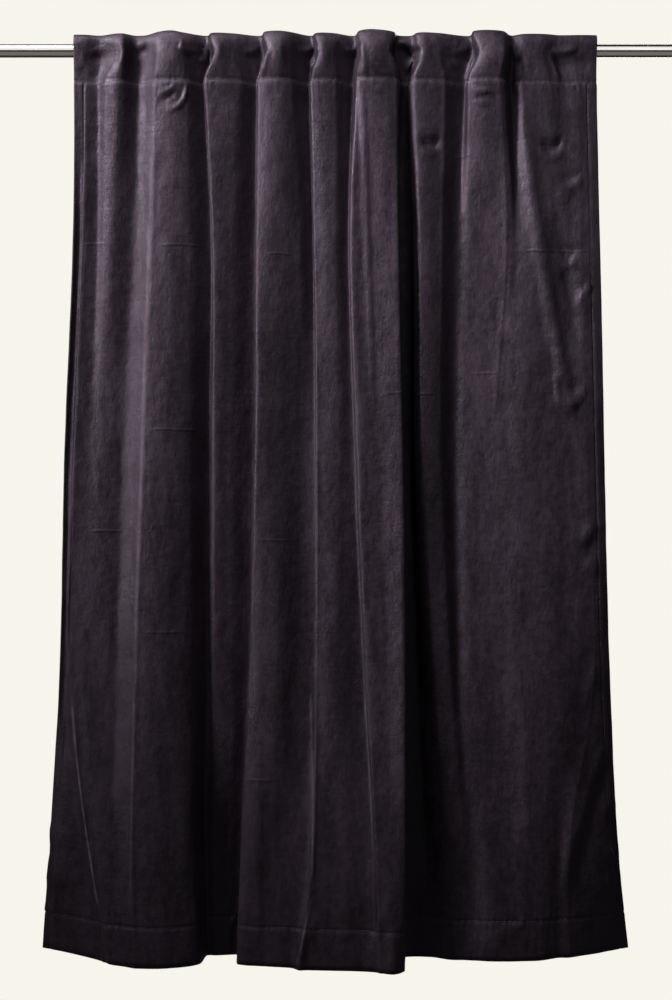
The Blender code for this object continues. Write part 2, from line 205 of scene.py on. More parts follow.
# Creases, each a soft ridge, or a trough where height is below zero, on a bowed line from its start
# to its end. All in mm, in the view along the cloth's depth: x along the rod, z up.
# A crease runs on past each end by a share of its length, and fades and narrows there.
Crease = namedtuple("Crease", "name x0 z0 x1 z1 bow width height")
CREASE_OVERRUN = 0.12
CREASE_FADE = 0.35
CREASE_END_WIDTH = 0.55
CREASES = (
    Crease("b_fold_upper", -346, -96, -313, -80, 3, 3.6, 3.6),
    Crease("b_fold_under", -342, -108, -312, -92, 3, 5, -2.2),
    Crease("b_hook", -333, -128, -291, -82, 13, 4.6, 4.2),
    Crease("b_hook_inner", -318, -118, -300, -84, 8, 6, -2.0),
    Crease("a_curve", -437, -86, -408, -101, 4, 4, 1.6),
    Crease("d_nick", -130, -86, -108, -99, 2, 5, -1.6),
    Crease("e_nick", -22, -101, 4, -97, 1, 3.5, 1.4),
    Crease("f_nick_upper", 71, -88, 93, -90, 3, 3.5, 1.4),
    Crease("f_nick_lower", 69, -101, 93, -96, 2, 4, -1.6),
    Crease("h_ply_upper", 264, -85, 297, -93, 2, 4, 3.6),
    Crease("h_ply_middle", 266, -97, 304, -98, -4, 4, 4.0),
    Crease("h_ply_lower", 268, -108, 300, -112, 4, 4, 3.0),
    Crease("h_ply_dark", 266, -91, 300, -101, 2, 4, -2.0),
    Crease("f_second_trough", 40, -84, 60, -690, 0, 8, -2.6),
    Crease("f_second_line", 51, -84, 71, -690, 0, 5, 2.6),
    Crease("g_dimple", 164, -184, 204, -186, 7, 8, -8.0),
    Crease("g_vee", 166, -200, 198, -202, 8, 5, 3.0),
    Crease("i_band", 361, -80, 470, -750, 13, 14, 7.2),
    Crease("i_band_dark", 428, -300, 480, -600, 2, 14, -3.0),
    Crease("i_swag", 426, -660, 488, -672, 30, 10, 7.0),
    Crease("i_swag_dark", 436, -648, 480, -656, 24, 12, -3.2),
    Crease("i_swag_tail", 458, -704, 470, -760, 0, 9, -2.0),
    Crease("right_dimple", 400, -184, 444, -182, 12, 9, -9.0),
    Crease("right_vee", 398, -196, 444, -194, 20, 6, 3.2),
    Crease("right_ply", 436, -280, 482, -256, 3, 7, 4.5),
    Crease("right_vee_low", 430, -290, 458, -288, 8, 6, 3.5),
    Crease("right_ply_dark", 440, -262, 484, -244, 2, 6, -3.0),
    Crease("right_line", 415, -394, 495, -392, 2, 4, -2.6),
    Crease("right_tongue_dark", 440, -400, 470, -398, 8, 9, -3.0),
    Crease("right_tongue", 440, -412, 472, -410, 14, 6, 3.5),
    Crease("right_dark", 440, -440, 486, -478, 3, 15, -4.0),
    Crease("right_bright", 468, -500, 500, -458, 3, 6, 2.8),
    Crease("right_bright_low", 444, -508, 498, -506, 2, 5, 3.0),
    Crease("right_tuck", 509, -936, 480, -966, 3, 9, 5.0),
    Crease("right_tuck_dark", 506, -966, 490, -992, 0, 11, -4.0),
    Crease("right_tuck_low", 482, -1010, 510, -1026, -4, 9, 4.4),
    Crease("i_cross_upper", 367, -508, 419, -568, 3, 5, -2.6),
    Crease("h_cross", 314, -520, 367, -613, 3, 6, -2.2),
    Crease("i_cross_low", 351, -648, 386, -638, 0, 5, 1.6),
    Crease("i_cross_end", 396, -671, 442, -640, 3, 6, 1.8),
    Crease("left_cross", -474, -1443, -428, -1503, 4, 7, 1.8),
    Crease("right_slope", 520, -1385, 440, -1660, 6, 12, 2.4),
    Crease("right_slope_dark", 538, -1400, 474, -1650, 5, 14, -2.6),
    Crease("right_slope_upper", 510, -1207, 483, -1302, 3, 9, 2.4),
    Crease("b_foot_line", -400, -1596, -394, -1698, 0, 6, -3.4),
    Crease("b_foot_ridge", -394, -1560, -392, -1700, 0, 6, 2.4),
    Crease("b_press", -372, -1142, -295, -1144, 2, 5, 1.4),
    Crease("d_press", -173, -1424, -124, -1426, 1, 5, 1.2),
    Crease("d_foot_crease", -152, -1428, -146, -1770, 0, 6, 2.8),
    Crease("e_foot_line", -46, -1264, -44, -1640, 0, 6, 2.0),
    Crease("left_line_dark", -532, -1290, -478, -1690, 6, 9, -2.0),
    Crease("left_line", -515, -1290, -460, -1690, 6, 6, 2.0),
    Crease("left_pucker_upper", -574, -1538, -520, -1554, 3, 9, 3.6),
    Crease("left_pucker_middle", -580, -1584, -530, -1572, -3, 9, -3.6),
    Crease("left_pucker_lower", -584, -1622, -534, -1642, 3, 9, 3.4),
    Crease("left_pucker_corner", -588, -1700, -520, -1682, 4, 10, 2.8),
    Crease("right_pucker_upper", 552, -1478, 520, -1500, 3, 9, 3.0),
    Crease("right_pucker_lower", 566, -1574, 528, -1590, -3, 9, 3.0),
    Crease("right_pucker_corner", 570, -1640, 500, -1668, 4, 10, 2.6),
    Crease("e_foot_fold", -40, -1690, -70, -1776, 4, 9, 3.2),
    Crease("f_foot_fold", 108, -1640, 66, -1770, 5, 9, 2.8),
    Crease("i_foot_fold", 250, -1776, 372, -1704, 4, 10, 2.6),
    Crease("recess_fold", -194, -1698, -216, -1762, 3, 6, 3.0),
)

# Swags of the casing between its folds, given in the same way
CASING_SWAGS = (
    Crease("ab_under", -490, -30, -452, -16, -4, 13, -2.8),
    Crease("ab_lip", -482, -14, -448, -6, -4, 5, 3.2),
    Crease("left_tail", -500, -40, -470, -62, 3, 8, -2.6),
    Crease("b_left", -384, -2, -366, 8, -3, 5, 3.2),
    Crease("b_left_dark", -388, -16, -370, -6, -3, 6, -4.2),
    Crease("bc_loop", -277, 2, -250, 5, 30, 5, 6.4),
    Crease("bc_loop_dark", -270, 6, -258, 6, 16, 6, -5.0),
    Crease("b_right_hook", -302, 2, -284, -14, 5, 6, 5.0),
    Crease("c_left_lip", -250, 8, -240, -20, -4, 4, 4.2),
    Crease("cd_swag", -180, 2, -152, -2, 10, 6, 5.5),
    Crease("cd_tail", -158, -20, -153, -56, 2, 4, 3.2),
    Crease("d_left_line", -142, -62, -128, -14, 0, 4, 3.5),
    Crease("de_swag", -66, 6, -44, 2, 12, 6, 6.5),
    Crease("e_left_hook", -34, -8, -44, -44, 6, 4, 4.8),
    Crease("ef_swag", 16, 6, 42, 2, 12, 6, 6.5),
    Crease("f_left_line", 50, 4, 57, -64, 0, 4, 3.2),
    Crease("f_right_line", 106, -22, 122, -56, 2, 4, 3.2),
    Crease("fg_band", 138, -48, 166, -14, -4, 8, 7.5),
    Crease("fg_ply_upper", 120, 6, 166, -6, -6, 6, 5.5),
    Crease("fg_ply_dark", 128, -6, 156, -24, -3, 6, -3.4),
    Crease("g_right_hook", 222, -28, 236, -58, -3, 4, 4.2),
    Crease("gh_swag", 226, 4, 256, 0, 12, 7, 6.5),
    Crease("h_left_line", 253, -64, 273, -6, 0, 4, 4.8),
    Crease("hi_swag", 338, 4, 356, -26, -4, 7, 5.5),
    Crease("i_right_line", 414, -8, 434, -64, -3, 5, 3.6),
    Crease("i_right_lip", 418, -8, 470, -2, 4, 6, 4.2),
    Crease("i_right_dark", 420, -26, 504, -26, 4, 17, -4.0),
)

# Noise patterns: how fine, how stretched along x, y and z, how detailed and how rough
Pattern = namedtuple("Pattern", "scale stretch detail roughness")
VELVET_PATTERNS = {
    "streaks": Pattern(30, (1, 1, 0.14), 5, 0.65),
    "patches": Pattern(17, (1, 1, 0.45), 5, 0.66),
    "blotches": Pattern(75, (1, 1, 0.8), 4, 0.65),
    "pile": Pattern(1500, (1, 1, 0.6), 2, 0.6),
    "nap": Pattern(240, (1, 1, 0.5), 3, 0.6),
    "crumple": Pattern(42, (1, 1, 0.55), 3, 0.55),
    "scuffs": Pattern(60, (0.5, 0.5, 2.6), 3, 0.6),
}
THREAD_TWIST = Pattern(900, (1, 1, 1), 1, 0.55)
STEEL_LINES = Pattern(60, (0.2, 9, 9), 3, 0.55)
STEEL_SMEARS = Pattern(12, (0.6, 3, 3), 3, 0.55)

# A shade goes from dark to light as its pattern goes from low to high. The velvet's base colour is
# multiplied by each of its shades in turn.
Shade = namedtuple("Shade", "pattern low dark high light")
VELVET_BASE = Shade("streaks", 0.25, (0.0118, 0.0083, 0.0120), 0.75, (0.029, 0.0205, 0.0295))
VELVET_SHADES = (
    Shade("patches", 0.30, (0.55, 0.54, 0.55), 0.72, (1.5, 1.47, 1.5)),
    Shade("blotches", 0.35, (0.8, 0.8, 0.8), 0.7, (1.22, 1.2, 1.22)),
    Shade("nap", 0.35, (0.82, 0.82, 0.82), 0.65, (1.2, 1.2, 1.2)),
    Shade("pile", 0.3, (0.72, 0.72, 0.72), 0.7, (1.3, 1.3, 1.3)),
)
VELVET_ROUGHNESS = Shade("blotches and streaks", 0.38, (0.42, 0.42, 0.42), 0.62, (0.66, 0.66, 0.66))
THREAD_BASE = Shade("twist", 0.3, (0.10, 0.085, 0.11), 0.7, (0.17, 0.145, 0.18))
STEEL_BASE = Shade("smears", 0.3, (0.60, 0.585, 0.56), 0.7, (0.68, 0.665, 0.64))
STEEL_ROUGHNESS = Shade("lines", 0.3, (0.10, 0.10, 0.10), 0.7, (0.17, 0.17, 0.17))

# How far each pattern stands out in the velvet, from the coarsest to the finest
Relief = namedtuple("Relief", "pattern height strength")
VELVET_RELIEFS = (
    Relief("crumple", 3.6 * MM, 0.65),
    Relief("pressed", 0.6 * MM, 1.0),
    Relief("scuffs", 1.0 * MM, 0.45),
    Relief("blotches", 1.2 * MM, 0.5),
    Relief("nap", 0.4 * MM, 0.5),
    Relief("pile", 0.3 * MM, 0.6),
)

# Faint lines across the cloth where it was folded flat in its packet, in mm: the height of each, its
# left end and its right end
Press = namedtuple("Press", "z x0 x1")
PRESS_LINES = (
    Press(-212, 230, 268),
    Press(-385, -500, -440),
    Press(-387, -352, -262),
    Press(-408, -136, -80),
    Press(-398, 366, 500),
    Press(-636, 262, 320),
    Press(-678, 86, 198),
    Press(-748, -362, -266),
    Press(-946, -486, -410),
    Press(-962, -152, -84),
    Press(-1142, -376, -290),
    Press(-1424, -174, -118),
)
PRESS_WIDTH = 4.5 * MM
PRESS_FADE = 18 * MM
PRESS_WANDER = 9 * MM
PRESS_WANDERING = Pattern(14, (1, 1, 0.2), 2, 0.55)

# Painted highlights: a lighter colour painted along sharp fold lines, standing in for their sheen in the
# raking light.
# For each line: its ends in mm, its bow to the left, how wide the painted line is on each side, and how
# strong it is
HighlightLine = namedtuple("HighlightLine", "name x0 z0 x1 z1 bow width share")
PAINTED_HIGHLIGHT_LINES = (
    HighlightLine("left_upper", -480, -262, -518, -1260, 10, 2.6, 0.12),
    HighlightLine("left_lower", -517, -1262, -460, -1694, 7, 3.2, 0.55),
    HighlightLine("crest_b_upper", -357, -100, -392, -1230, 0, 5, 0.20),
    HighlightLine("crest_b_lower", -391, -1230, -398, -1690, 0, 4, 0.14),
    HighlightLine("crest_e_lower", -51, -1240, -46, -1650, -3, 3.2, 0.25),
    HighlightLine("e_foot", -45, -1640, -77, -1780, 0, 4, 0.22),
    HighlightLine("crest_f_middle", 34, -800, 74, -1590, 2, 2.8, 0.16),
)
# The painted highlight's lighter colour, how its lines fade at their ends, and how patchy they are
PAINTED_HIGHLIGHT_COLOR = (0.26, 0.23, 0.27, 1.0)
PAINTED_HIGHLIGHT_FADE = 0.12
PAINTED_HIGHLIGHT_UNEVEN = 0.6
PAINTED_HIGHLIGHT_PATCHES = Pattern(26, (1, 1, 1), 3, 0.55)
PAINTED_HIGHLIGHT_PATCH_FULL = 0.62
PAINTED_HIGHLIGHT_PATCH_NONE = 0.34

# Looseness of the cloth between its folds: size across and down in metres, and height. It fades in
# below the casing seam.
Ripple = namedtuple("Ripple", "across down height seed")
RIPPLES = (
    Ripple(0.070, 0.75, 2.2 * MM, 3.1),
    Ripple(0.034, 0.34, 1.1 * MM, 17.4),
    Ripple(0.050, 0.070, 1.0 * MM, 41.9),
    Ripple(0.020, 0.032, 0.5 * MM, 63.2),
)
RIPPLE_FADE = 60 * MM

# How far apart the rows are, down to each depth below the casing seam, in mm
RowStep = namedtuple("RowStep", "depth step")
ROW_STEPS = (
    RowStep(12, 3.2),
    RowStep(80, 5.5),
    RowStep(440, 9),
    RowStep(1000, 12.5),
    RowStep(2000, 16.5),
)
HEM_SEAM_ZONE = 13 * MM

# Sewn lines: the groove, deeper at the bottom hem, and the shoulder below the casing seam
SEAM_GROOVE = 1.1 * MM
SEAM_GROOVE_WIDTH = 2.2 * MM
HEM_GROOVE_SHARE = 1.6
SEAM_SHOULDER = 1.6 * MM
SEAM_SHOULDER_REACH = 9 * MM

# Small gathers along the sewn lines, and how strong they are beside each. Their places drift and their
# strength changes in waves, each with its share, its length and where it starts.
PUCKER_PITCH = 13 * MM
PUCKER_HEIGHT = 0.6 * MM
PUCKER_REACH = 26 * MM
HEM_PUCKER_SHARE = 0.9
SIDE_PUCKER_SHARE = 0.5
SIDE_PUCKER_NARROWING = 2
CASING_PUCKER_SHARE = 0.4
CASING_PUCKER_SPREAD = 1.3
Wave = namedtuple("Wave", "share length start")
PUCKER_DRIFTS = (Wave(0.35, 47 * MM, 0.0), Wave(0.25, 19 * MM, 1.3))
PUCKER_DRIFT = 4
PUCKER_STRENGTH = Wave(0.45, 83 * MM, 0.7)

# Stitches, each a short thread that narrows to its ends: share of its length and of its radius
STITCH_PITCH = 4.2 * MM
STITCH_LENGTH = 3.0 * MM
THREAD_RADIUS = 0.35 * MM
THREAD_SIDES = 6
THREAD_LIFT = 0.6
Ring = namedtuple("Ring", "share radius")
THREAD_RINGS = (Ring(0.0, 0.35), Ring(0.18, 1.0), Ring(0.82, 1.0), Ring(1.0, 0.35))


def hermite(start, end, start_slope, end_slope, share):
    square = share * share
    cube = square * share
    return (
        (2 * cube - 3 * square + 1) * start
        + (cube - 2 * square + share) * start_slope
        + (3 * square - 2 * cube) * end
        + (cube - square) * end_slope
    )


def slopes(places, values):
    """The slope at each place of a smooth curve through the values."""
    gaps = np.diff(places)[:, None]
    steps = np.diff(values, axis=0) / gaps
    middle = (steps[:-1] * gaps[1:] + steps[1:] * gaps[:-1]) / (gaps[:-1] + gaps[1:])
    return np.vstack((steps[:1], middle, steps[-1:]))


def read_curve(places, values, at):
    """The smooth curve through the values, read at each of the given places."""
    slope = slopes(places, values)
    index = np.clip(np.searchsorted(places, at, side="right") - 1, 0, len(places) - 2)
    gap = (places[index + 1] - places[index])[:, None]
    share = (at[:, None] - places[index][:, None]) / gap
    return hermite(values[index], values[index + 1], slope[index] * gap, slope[index + 1] * gap, share)


def line_places(heights):
    """Every fold line's x, forward, crown and waist at each height: heights by lines by four."""
    found = []
    for line in FOLD_LINES:
        at_levels = np.column_stack((line.x, line.forward)) * MM
        along = read_curve(-LEVEL_HEIGHTS, at_levels, -heights)
        fixed = np.full((len(heights), 2), (line.crown * MM, line.waist * MM))
        found.append(np.column_stack((along, fixed)))
    return np.array(found).transpose(1, 0, 2)


def steps_between_lines():
    """How many columns each gap between neighbouring fold lines takes."""
    places = line_places(LEVEL_HEIGHTS)[:, :, :2]
    longest = np.linalg.norm(np.diff(places, axis=1), axis=2).max(axis=0)
    return [max(2, ceil(length / COLUMN_PITCH)) for length in longest]


def across(row, steps):
    """One row's columns on a smooth curve through its fold lines, closer together near the lines."""
    chords = np.sqrt(np.linalg.norm(np.diff(row[:, :2], axis=0), axis=1))
    places = np.concatenate(([0.0], np.cumsum(chords)))
    at = [places[0]]
    for index, count in enumerate(steps):
        share = np.arange(1, count + 1) / count
        share = share - COLUMN_GATHER * np.sin(2 * pi * share) / (2 * pi)
        at += list(places[index] + chords[index] * share)
    return read_curve(places, row, np.array(at))


def row_heights():
    """Heights of the rows below the casing seam, closer together near each sewn line."""
    heights = [SEAM_HEIGHT]
    while heights[-1] > BOTTOM_HEIGHT:
        depth = SEAM_HEIGHT - heights[-1]
        to_hem = abs(heights[-1] - HEM_SEAM_HEIGHT)
        step = next(rows.step for rows in ROW_STEPS if depth < rows.depth * MM) * MM
        if to_hem < HEM_SEAM_ZONE:
            step = ROW_STEPS[0].step * MM
        heights.append(heights[-1] - step)
    heights[-1] = BOTTOM_HEIGHT
    if heights[-2] - heights[-1] < ROW_STEPS[0].step * MM / 2:
        heights.pop(-2)
    return np.array(heights[1:])


def smooth_step(value):
    value = np.clip(value, 0, 1)
    return value * value * (3 - 2 * value)


def noise_field(x, z, ripple):
    """Smooth noise over the cloth, between about -1 and 1."""
    flat = zip((x / ripple.across).ravel(), (z / ripple.down).ravel())
    found = [noise.noise(Vector((u, w, ripple.seed))) for u, w in flat]
    return np.array(found).reshape(x.shape)


def crease_height(crease, x, z):
    """How far one crease lifts each point of the cloth."""
    start = np.array((crease.x0, crease.z0)) * MM
    end = np.array((crease.x1, crease.z1)) * MM
    run = end - start
    length = np.hypot(*run)
    along = ((x - start[0]) * run[0] + (z - start[1]) * run[1]) / length
    aside = ((x - start[0]) * run[1] - (z - start[1]) * run[0]) / length
    share = along / length
    aside = aside - crease.bow * MM * 4 * share * (1 - share)
    fade_in = smooth_step((share + CREASE_OVERRUN) / CREASE_FADE)
    fade = fade_in * smooth_step((1 + CREASE_OVERRUN - share) / CREASE_FADE)
    width = crease.width * MM * (CREASE_END_WIDTH + (1 - CREASE_END_WIDTH) * fade)
    return crease.height * MM * fade * np.exp(-((aside / width) ** 2))


def read_wave(wave, along):
    return wave.share * np.sin(along / wave.length + wave.start)


def pucker_height(along, away):
    """Small gathers that a seam pulls up, fading away from it."""
    drift = sum(read_wave(wave, along) for wave in PUCKER_DRIFTS)
    gathers = np.sin(2 * pi * along / PUCKER_PITCH + PUCKER_DRIFT * drift)
    strength = 1 - PUCKER_STRENGTH.share + read_wave(PUCKER_STRENGTH, along)
    return PUCKER_HEIGHT * gathers * strength * np.exp(-np.abs(away) / PUCKER_REACH)


def groove(away):
    return -SEAM_GROOVE * np.exp(-((away / SEAM_GROOVE_WIDTH) ** 2))


def line_columns(steps):
    """The column of each fold line."""
    columns = np.concatenate(([0], np.cumsum(steps)))
    return {line.name: int(column) for line, column in zip(FOLD_LINES, columns)}


def ridge_height(ridge, arc, heights, columns):
    """How far one ridge lifts each point: rows at the given heights by columns along the arc."""
    levels = np.array(ridge.heights, float)[:, None] * MM
    high = read_curve(-LEVEL_HEIGHTS, levels, -np.minimum(heights, SEAM_HEIGHT))[:, 0]
    column = columns[ridge.line]
    places = [Vector((0.0, height / RIDGE_UNEVEN_EVERY, RIDGE_SEED + column)) for height in heights]
    uneven = np.array([1.0 + RIDGE_UNEVEN * noise.noise(place) for place in places])
    off = arc - arc[:, column : column + 1] - ridge.shift * MM
    reach = np.sqrt(off * off + RIDGE_ROUNDING**2) - RIDGE_ROUNDING
    return (np.maximum(high, 0) * uneven)[:, None] * np.exp(-reach / (ridge.width * MM))


def seam_shoulder(below):
    """The cloth stands out a little just below the seam that pulls it in."""
    share = np.maximum(below, 0) / SEAM_SHOULDER_REACH
    return SEAM_SHOULDER * share * np.exp(1 - share)


def arc_lengths(grid):
    """Distance along each row from the left edge."""
    steps = np.linalg.norm(np.diff(grid, axis=1), axis=2)
    return np.concatenate((np.zeros((len(grid), 1)), np.cumsum(steps, axis=1)), axis=1)


def sheet_relief(grid, columns):
    """How far the front of the hanging sheet stands off its plain folds, rows by columns."""
    x = grid[:, :, 0]
    z = grid[:, :, 2]
    arc = arc_lengths(grid)
    below_seam = smooth_step((SEAM_HEIGHT - z) / RIPPLE_FADE)
    relief = sum(ripple.height * noise_field(arc, z, ripple) for ripple in RIPPLES) * below_seam
    relief += sum(ridge_height(ridge, arc, z[:, 0], columns) for ridge in RIDGES)
    relief += seam_shoulder(SEAM_HEIGHT - z)
    relief += sum(crease_height(crease, x, z) for crease in CREASES)
    relief += pucker_height(arc, SEAM_HEIGHT - z) + groove(SEAM_HEIGHT - z)
    relief += HEM_PUCKER_SHARE * pucker_height(arc, z - HEM_SEAM_HEIGHT)
    relief += HEM_GROOVE_SHARE * groove(z - HEM_SEAM_HEIGHT)
    for from_side in (arc, arc[:, -1:] - arc):
        away = from_side - SIDE_HEM_WIDTH
        relief += groove(away) + SIDE_PUCKER_SHARE * pucker_height(z, away * SIDE_PUCKER_NARROWING)
    return relief


def front_normals(grid):
    """Unit normals of a grid of points, on the side that faces the viewer."""
    normals = np.cross(np.gradient(grid, axis=0), np.gradient(grid, axis=1))
    return normals / np.linalg.norm(normals, axis=2, keepdims=True)


def hanging_sheet(heights, steps):
    """Front and back points of the sheet below the casing seam, with the height of each row."""
    rows = []
    for height, row in zip(heights, line_places(heights)):
        columns = across(row, steps)
        rows.append(np.column_stack((columns[:, 0], -columns[:, 1], np.full(len(columns), height))))
    plain = np.array(rows)
    relief = sheet_relief(plain, line_columns(steps))
    around = np.pad(relief, ((1, 1), (0, 0)), mode="edge")
    lowest = np.minimum(np.minimum(around[:-2], around[2:]), relief)
    plain_normals = front_normals(plain)
    middle = plain + plain_normals * relief[:, :, None]
    normals = front_normals(middle)
    arc = arc_lengths(plain)
    from_side = np.minimum(arc, arc[:, -1:] - arc)
    in_hem = np.maximum(
        smooth_step((HEM_SEAM_HEIGHT + HEM_EDGE / 2 - plain[:, :, 2]) / HEM_EDGE),
        smooth_step((SIDE_HEM_WIDTH + HEM_EDGE / 2 - from_side) / HEM_EDGE),
    )
    back = LAYER / 2 + (HEM_LAYERS - LAYER) * in_hem
    behind = middle + plain_normals * (lowest - relief)[:, :, None] - normals * back[:, :, None]
    return middle + normals * LAYER / 2, behind


def ring_points(stations, seam, count, closed):
    """A casing ring in every column: points by columns by xyz, along a smooth section."""
    fold = (seam[:, 1] - VALLEY_FORWARD) / FULL_FOLD
    crown = seam[:, 2] - FLAT_CROWN - (FULL_CROWN - FLAT_CROWN) * fold
    rows = stations + (stations[:1] if closed else ())
    forward = np.array([station.flat[0] + (station.full[0] - station.flat[0]) * fold for station in rows])
    height = np.array([station.flat[1] + (station.full[1] - station.flat[1]) * fold for station in rows])
    section = np.array([station.flat for station in rows], float) * MM
    chords = np.sqrt(np.linalg.norm(np.diff(section, axis=0), axis=1))
    places = np.concatenate(([0.0], np.cumsum(chords)))
    at = np.linspace(0, places[-1], count + 1)
    if closed:
        at = at[:-1]
    forward = read_curve(places, forward * MM, at)
    height = read_curve(places, height * MM, at)
    if not closed:
        height += crown * smooth_step((height - ROD_RADIUS) / (FLAT_CROWN - ROD_RADIUS))
    return np.stack((np.broadcast_to(seam[:, 0], forward.shape), -forward, height), axis=2)


def drawn_in(ring, seam):
    """Draws the casing's folds in sideways at its waist."""
    below = np.clip((ring[:, :, 2] - SEAM_HEIGHT) / (WAIST_HEIGHT - SEAM_HEIGHT), 0, 1)
    above = smooth_step((ring[:, :, 2] - WAIST_HEIGHT) / (PUFF_HEIGHT - WAIST_HEIGHT))
    share = STRAIGHT_SHARE * below + (1 - STRAIGHT_SHARE) * smooth_step(below)
    ring[:, :, 0] += share * (1 - (1 - PUFF_SHARE) * above) * seam[:, 3]
    return ring


def casing_relief(ring, seam, columns):
    """How far the front of the casing stands off its plain section."""
    x = ring[:, :, 0]
    z = ring[:, :, 2]
    steps = np.hypot(np.diff(seam[:, 0]), np.diff(seam[:, 1]))
    arc = np.broadcast_to(np.concatenate(([0.0], np.cumsum(steps))), x.shape)
    heights = z.mean(axis=1)
    fading = 1 - smooth_step((z - WAIST_HEIGHT) / (PUFF_HEIGHT - WAIST_HEIGHT) * RIDGE_FADE)
    relief = sum(ridge_height(ridge, arc, heights, columns) for ridge in RIDGES) * fading
    relief += sum(crease_height(crease, x, z) for crease in CASING_SWAGS)
    relief += CASING_PUCKER_SHARE * pucker_height(x * CASING_PUCKER_SPREAD, z - SEAM_HEIGHT)
    on_front = smooth_step((-CASING_FRONT_FROM - ring[:, :, 1]) / CASING_FRONT_FADE)
    under_top = smooth_step((CASING_SWAG_TOP - z) / CASING_SWAG_FADE)
    return relief * on_front * under_top + groove(z - SEAM_HEIGHT) * (ring[:, :, 1] < 0)


def casing_rings(steps):
    """Outer and inner points of the casing: points by columns by xyz."""
    seam = across(line_places(LEVEL_HEIGHTS[:1])[0], steps)
    columns = line_columns(steps)
    outer = drawn_in(ring_points(CASING_OUTER, seam, CASING_OUTER_ROWS, False), seam)
    inner = drawn_in(ring_points(CASING_INNER, seam, CASING_INNER_ROWS, True), seam)
    outer = outer - front_normals(outer) * casing_relief(outer, seam, columns)[:, :, None]
    inward = np.minimum(casing_relief(inner, seam, columns), 0)
    inner = inner - front_normals(inner) * inward[:, :, None]
    return outer, inner


def mesh_object(name, points, faces, material):
    mesh = bpy.data.meshes.new(name)
    mesh.from_pydata([tuple(point) for point in points], [], faces)
    mesh.validate()
    mesh.materials.append(material)
    mesh.shade_smooth()
    mesh.update()
    item = bpy.data.objects.new(name, mesh)
    bpy.context.scene.collection.objects.link(item)
    return item


def band(rows, columns, first):
    """Quads of a closed loop of rows, each row holding the columns, from the first vertex on."""
    faces = []
    for row in range(rows):
        after = (row + 1) % rows
        for column in range(columns - 1):
            here = first + row * columns + column
            there = first + after * columns + column
            faces.append((here, here + 1, there + 1, there))
    return faces


def make_velvet(material):
    steps = steps_between_lines()
    heights = row_heights()
    front, back = hanging_sheet(heights, steps)
    outer, inner = casing_rings(steps)
    kept_back = sorted(set(range(BACK_ROW_EVERY - 1, len(heights), BACK_ROW_EVERY)) | {len(heights) - 1})
    loop = np.concatenate((outer, back[kept_back], front[::-1]))
    columns = loop.shape[1]
    points = np.concatenate((loop.reshape(-1, 3), inner.reshape(-1, 3)))
    faces = band(len(loop), columns, 0)
    faces += [face[::-1] for face in band(len(inner), columns, len(loop) * columns)]
    ends = end_faces(len(outer), kept_back, len(front), len(inner))
    for column in (0, columns - 1):
        side = [[row * columns + column for row in face] for face in ends]
        faces += side if column == 0 else [face[::-1] for face in side]
    cloth = mesh_object("curtain_velvet", points, faces, material)
    return cloth, front, outer


def end_faces(casing_count, kept_back, front_count, inner_count):
    """Faces that close one side edge, as rows of the loop and, after them, of the inner ring."""
    back_count = len(kept_back)
    loop_count = casing_count + back_count + front_count
    faces = []
    inner_at = 0
    for index in range(casing_count - 1):
        wanted = round((index + 1) * inner_count / (casing_count - 1))
        corners = [index, index + 1, loop_count + wanted % inner_count]
        if wanted != inner_at:
            corners.append(loop_count + inner_at % inner_count)
        faces.append(corners)
        inner_at = wanted
    faces.append([0, loop_count, casing_count - 1])
    front_at = [0] + [loop_count - 1 - row for row in range(front_count)]
    back_at = [casing_count - 1] + [casing_count + row for row in range(back_count)]
    rows = [0] + [row + 1 for row in kept_back]
    for index in range(back_count):
        upper = rows[index]
        lower = rows[index + 1]
        front_run = [front_at[row] for row in range(lower, upper - 1, -1)]
        faces.append([back_at[index], back_at[index + 1], *front_run])
    return faces


def new_material(name):
    material = bpy.data.materials.new(name)
    material.use_nodes = True
    return material, material.node_tree, material.node_tree.nodes["Principled BSDF"]


def noise_node(tree, place, pattern):
    """Noise over the object's own coordinates."""
    mapping = tree.nodes.new("ShaderNodeMapping")
    mapping.inputs["Scale"].default_value = pattern.stretch
    tree.links.new(place, mapping.inputs["Vector"])
    node = tree.nodes.new("ShaderNodeTexNoise")
    node.inputs["Scale"].default_value = pattern.scale
    node.inputs["Detail"].default_value = pattern.detail
    node.inputs["Roughness"].default_value = pattern.roughness
    tree.links.new(mapping.outputs["Vector"], node.inputs["Vector"])
    return node.outputs["Fac"]


def ramp(tree, value, shade):
    node = tree.nodes.new("ShaderNodeValToRGB")
    stops = ((shade.low, shade.dark), (shade.high, shade.light))
    for element, (position, color) in zip(node.color_ramp.elements, stops):
        element.position = position
        element.color = (*color, 1.0)
    tree.links.new(value, node.inputs["Fac"])
    return node.outputs["Color"]


def mix_colors(tree, share, first, second, kind="MIX"):
    node = tree.nodes.new("ShaderNodeMix")
    node.data_type = "RGBA"
    node.blend_type = kind
    for socket, value in ((node.inputs[0], share), (node.inputs[6], first), (node.inputs[7], second)):
        if isinstance(value, (int, float, tuple)):
            socket.default_value = value
        else:
            tree.links.new(value, socket)
    return node.outputs[2]


def bump(tree, height, distance, strength, normal=None):
    node = tree.nodes.new("ShaderNodeBump")
    node.inputs["Distance"].default_value = distance
    node.inputs["Strength"].default_value = strength
    tree.links.new(height, node.inputs["Height"])
    if normal:
        tree.links.new(normal, node.inputs["Normal"])
    return node.outputs["Normal"]


def maths(tree, operation, first, second=0.0):
    node = tree.nodes.new("ShaderNodeMath")
    node.operation = operation
    for socket, value in zip(node.inputs, (first, second)):
        if isinstance(value, (int, float)):
            socket.default_value = value
        else:
            tree.links.new(value, socket)
    return node.outputs["Value"]


